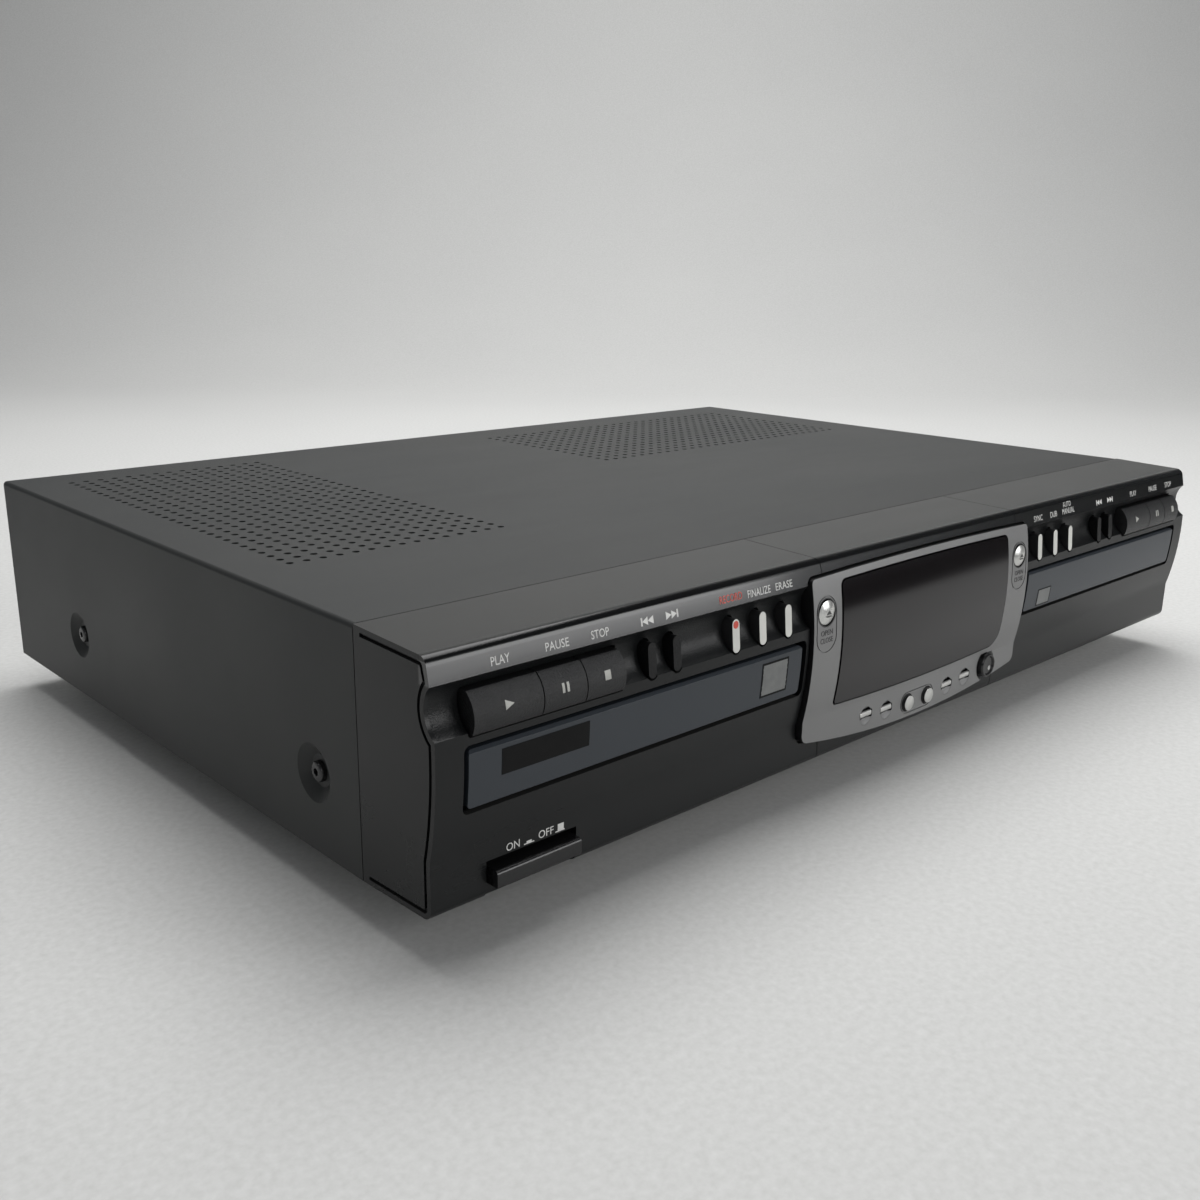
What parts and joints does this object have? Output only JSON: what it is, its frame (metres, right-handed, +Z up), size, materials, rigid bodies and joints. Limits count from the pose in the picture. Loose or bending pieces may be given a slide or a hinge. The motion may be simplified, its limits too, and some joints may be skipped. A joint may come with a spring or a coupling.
{
  "type": "cd recorder",
  "caption": "Twin-deck disc recorder: low sheet-metal case with a curved moulded front, a disc tray on each side of a central display, barrel and fin keys, jog knob and power button.",
  "frame": {"origin": "centre of the bounding box, on the plane of the feet's undersides", "axes": "+X to the right seen from the front, +Y to the rear, +Z up; the front faces -Y"},
  "size_m": [0.435, 0.3128, 0.088],
  "materials": {
    "cover_paint": "matte fine-textured dark grey paint",
    "plated_sheet": "zinc-plated sheet",
    "rear_paint": "matte dark paint",
    "screw_black": "blackened",
    "foot_plastic": "matte",
    "panel_black": "satin",
    "bezel_silver": "metallic lacquer",
    "window_smoke": "smoked and polished",
    "tube_glass": "polished",
    "circuit_board": "solder resist",
    "switch_grey": "moulded",
    "jack_metal": "nickel",
    "inlet_black": "moulded",
    "loader_plastic": "moulded",
    "tray_plastic": "moulded",
    "tray_front_grey": "satin lacquer",
    "gear_plastic": "natural acetal",
    "engine_steel": "plated",
    "turntable_plastic": "moulded",
    "pickup_metal": "die cast",
    "key_black": "satin",
    "key_white": "satin",
    "key_silver": "metallic lacquer",
    "knob_black": "polished"
  },
  "bodies": {
    "case": {"base_chassis": "plated_sheet", "rear_panel": "rear_paint", "top_cover": "cover_paint", "case_screws": "screw_black", "feet": "foot_plastic", "left_front_panel": "panel_black", "centre_front_panel": "panel_black", "right_front_panel": "panel_black", "display_bezel": "bezel_silver", "display_window": "window_smoke", "display_tube": "tube_glass", "control_boards": "circuit_board", "power_switch": "switch_grey", "main_board": "circuit_board", "power_supply": "circuit_board", "signal_jacks": "jack_metal", "mains_inlet": "inlet_black", "left_loader_frame": "loader_plastic", "right_loader_frame": "loader_plastic", "clamp_bridges": "plated_sheet"},
    "left_tray": {"left_tray": "tray_plastic", "left_tray_front": "tray_front_grey"},
    "left_tray_gear": {"left_tray_gear": "gear_plastic"},
    "left_engine": {"left_engine": "engine_steel"},
    "left_turntable": {"left_turntable": "turntable_plastic"},
    "left_pickup": {"left_pickup": "pickup_metal"},
    "left_clamp": {"left_clamp": "turntable_plastic"},
    "right_tray": {"right_tray": "tray_plastic", "right_tray_front": "tray_front_grey"},
    "right_tray_gear": {"right_tray_gear": "gear_plastic"},
    "right_engine": {"right_engine": "engine_steel"},
    "right_turntable": {"right_turntable": "turntable_plastic"},
    "right_pickup": {"right_pickup": "pickup_metal"},
    "right_clamp": {"right_clamp": "turntable_plastic"},
    "left_play_key": {"left_play_key": "key_black"},
    "left_pause_key": {"left_pause_key": "key_black"},
    "left_stop_key": {"left_stop_key": "key_black"},
    "left_previous_key": {"left_previous_key": "key_black"},
    "left_next_key": {"left_next_key": "key_black"},
    "record_key": {"record_key": "key_white"},
    "finalize_key": {"finalize_key": "key_white"},
    "erase_key": {"erase_key": "key_white"},
    "right_play_key": {"right_play_key": "key_black"},
    "right_pause_key": {"right_pause_key": "key_black"},
    "right_stop_key": {"right_stop_key": "key_black"},
    "right_previous_key": {"right_previous_key": "key_black"},
    "right_next_key": {"right_next_key": "key_black"},
    "sync_key": {"sync_key": "key_white"},
    "dub_key": {"dub_key": "key_white"},
    "manual_key": {"manual_key": "key_white"},
    "left_open_key": {"left_open_key": "key_silver"},
    "right_open_key": {"right_open_key": "key_silver"},
    "small_key_1": {"small_key_1": "key_silver"},
    "small_key_2": {"small_key_2": "key_silver"},
    "small_key_3": {"small_key_3": "key_silver"},
    "small_key_4": {"small_key_4": "key_silver"},
    "round_key_1": {"round_key_1": "key_silver"},
    "round_key_2": {"round_key_2": "key_silver"},
    "power_button": {"power_button": "key_black"},
    "jog_knob": {"jog_knob": "knob_black"}
  },
  "joints": [
    {"name": "left_tray_slide", "type": "slide", "parent": "case", "child": "left_tray", "axis": [0, -1, 0], "range_m": [0, 0.14]},
    {"name": "left_gear_spin", "type": "hinge", "parent": "case", "child": "left_tray_gear", "pos_m": [-0.184, -0.1028, 0.04637], "axis": [0, 0, 1], "range_deg": [0, 669]},
    {"name": "left_engine_lift", "type": "hinge", "parent": "case", "child": "left_engine", "pos_m": [-0.14, 0.0034, 0.03237], "axis": [-1, 0, 0], "range_deg": [0, 5]},
    {"name": "left_turntable_spin", "type": "hinge", "parent": "left_engine", "child": "left_turntable", "pos_m": [-0.14, -0.0756, 0.03137], "axis": [0, 0, 1], "continuous": true},
    {"name": "left_pickup_slide", "type": "slide", "parent": "left_engine", "child": "left_pickup", "axis": [0, 1, 0], "range_m": [0, 0.033]},
    {"name": "left_clamp_spin", "type": "hinge", "parent": "case", "child": "left_clamp", "pos_m": [-0.14, -0.0756, 0.06337], "axis": [0, 0, 1], "continuous": true},
    {"name": "right_tray_slide", "type": "slide", "parent": "case", "child": "right_tray", "axis": [0, -1, 0], "range_m": [0, 0.14]},
    {"name": "right_gear_spin", "type": "hinge", "parent": "case", "child": "right_tray_gear", "pos_m": [0.096, -0.1028, 0.04637], "axis": [0, 0, 1], "range_deg": [0, 669]},
    {"name": "right_engine_lift", "type": "hinge", "parent": "case", "child": "right_engine", "pos_m": [0.14, 0.0034, 0.03237], "axis": [-1, 0, 0], "range_deg": [0, 5]},
    {"name": "right_turntable_spin", "type": "hinge", "parent": "right_engine", "child": "right_turntable", "pos_m": [0.14, -0.0756, 0.03137], "axis": [0, 0, 1], "continuous": true},
    {"name": "right_pickup_slide", "type": "slide", "parent": "right_engine", "child": "right_pickup", "axis": [0, 1, 0], "range_m": [0, 0.033]},
    {"name": "right_clamp_spin", "type": "hinge", "parent": "case", "child": "right_clamp", "pos_m": [0.14, -0.0756, 0.06337], "axis": [0, 0, 1], "continuous": true},
    {"name": "left_play_key_press", "type": "slide", "parent": "case", "child": "left_play_key", "axis": [0, 1, 0], "range_m": [0, 0.0005], "stiffness_N_per_m": 600, "springref_m": -0.001},
    {"name": "left_pause_key_press", "type": "slide", "parent": "case", "child": "left_pause_key", "axis": [0, 1, 0], "range_m": [0, 0.0005], "stiffness_N_per_m": 600, "springref_m": -0.001},
    {"name": "left_stop_key_press", "type": "slide", "parent": "case", "child": "left_stop_key", "axis": [0, 1, 0], "range_m": [0, 0.0005], "stiffness_N_per_m": 600, "springref_m": -0.001},
    {"name": "left_previous_key_press", "type": "slide", "parent": "case", "child": "left_previous_key", "axis": [0, 1, 0], "range_m": [0, 0.0005], "stiffness_N_per_m": 600, "springref_m": -0.001},
    {"name": "left_next_key_press", "type": "slide", "parent": "case", "child": "left_next_key", "axis": [0, 1, 0], "range_m": [0, 0.0005], "stiffness_N_per_m": 600, "springref_m": -0.001},
    {"name": "record_key_press", "type": "slide", "parent": "case", "child": "record_key", "axis": [0, 1, 0], "range_m": [0, 0.0005], "stiffness_N_per_m": 600, "springref_m": -0.001},
    {"name": "finalize_key_press", "type": "slide", "parent": "case", "child": "finalize_key", "axis": [0, 1, 0], "range_m": [0, 0.0005], "stiffness_N_per_m": 600, "springref_m": -0.001},
    {"name": "erase_key_press", "type": "slide", "parent": "case", "child": "erase_key", "axis": [0, 1, 0], "range_m": [0, 0.0005], "stiffness_N_per_m": 600, "springref_m": -0.001},
    {"name": "right_play_key_press", "type": "slide", "parent": "case", "child": "right_play_key", "axis": [0, 1, 0], "range_m": [0, 0.0005], "stiffness_N_per_m": 600, "springref_m": -0.001},
    {"name": "right_pause_key_press", "type": "slide", "parent": "case", "child": "right_pause_key", "axis": [0, 1, 0], "range_m": [0, 0.0005], "stiffness_N_per_m": 600, "springref_m": -0.001},
    {"name": "right_stop_key_press", "type": "slide", "parent": "case", "child": "right_stop_key", "axis": [0, 1, 0], "range_m": [0, 0.0005], "stiffness_N_per_m": 600, "springref_m": -0.001},
    {"name": "right_previous_key_press", "type": "slide", "parent": "case", "child": "right_previous_key", "axis": [0, 1, 0], "range_m": [0, 0.0005], "stiffness_N_per_m": 600, "springref_m": -0.001},
    {"name": "right_next_key_press", "type": "slide", "parent": "case", "child": "right_next_key", "axis": [0, 1, 0], "range_m": [0, 0.0005], "stiffness_N_per_m": 600, "springref_m": -0.001},
    {"name": "sync_key_press", "type": "slide", "parent": "case", "child": "sync_key", "axis": [0, 1, 0], "range_m": [0, 0.0005], "stiffness_N_per_m": 600, "springref_m": -0.001},
    {"name": "dub_key_press", "type": "slide", "parent": "case", "child": "dub_key", "axis": [0, 1, 0], "range_m": [0, 0.0005], "stiffness_N_per_m": 600, "springref_m": -0.001},
    {"name": "manual_key_press", "type": "slide", "parent": "case", "child": "manual_key", "axis": [0, 1, 0], "range_m": [0, 0.0005], "stiffness_N_per_m": 600, "springref_m": -0.001},
    {"name": "left_open_key_press", "type": "slide", "parent": "case", "child": "left_open_key", "axis": [0, 1, 0], "range_m": [0, 0.0005], "stiffness_N_per_m": 600, "springref_m": -0.001},
    {"name": "right_open_key_press", "type": "slide", "parent": "case", "child": "right_open_key", "axis": [0, 1, 0], "range_m": [0, 0.0005], "stiffness_N_per_m": 600, "springref_m": -0.001},
    {"name": "small_key_1_press", "type": "slide", "parent": "case", "child": "small_key_1", "axis": [0, 1, 0], "range_m": [0, 0.0005], "stiffness_N_per_m": 600, "springref_m": -0.001},
    {"name": "small_key_2_press", "type": "slide", "parent": "case", "child": "small_key_2", "axis": [0, 1, 0], "range_m": [0, 0.0005], "stiffness_N_per_m": 600, "springref_m": -0.001},
    {"name": "small_key_3_press", "type": "slide", "parent": "case", "child": "small_key_3", "axis": [0, 1, 0], "range_m": [0, 0.0005], "stiffness_N_per_m": 600, "springref_m": -0.001},
    {"name": "small_key_4_press", "type": "slide", "parent": "case", "child": "small_key_4", "axis": [0, 1, 0], "range_m": [0, 0.0005], "stiffness_N_per_m": 600, "springref_m": -0.001},
    {"name": "round_key_1_press", "type": "slide", "parent": "case", "child": "round_key_1", "axis": [0, 1, 0], "range_m": [0, 0.0005], "stiffness_N_per_m": 600, "springref_m": -0.001},
    {"name": "round_key_2_press", "type": "slide", "parent": "case", "child": "round_key_2", "axis": [0, 1, 0], "range_m": [0, 0.0005], "stiffness_N_per_m": 600, "springref_m": -0.001},
    {"name": "power_button_press", "type": "slide", "parent": "case", "child": "power_button", "axis": [0, 1, 0], "range_m": [0, 0.0035], "stiffness_N_per_m": 300, "springref_m": -0.003},
    {"name": "jog_knob_turn", "type": "hinge", "parent": "case", "child": "jog_knob", "pos_m": [0.0474, -0.1546, 0.0272], "axis": [0, -1, 0], "continuous": true}
  ],
  "couplings": [
    {"joint": "left_gear_spin", "follows": "left_tray_slide", "rad_per_m": 83.333},
    {"joint": "right_gear_spin", "follows": "right_tray_slide", "rad_per_m": 83.333}
  ]
}
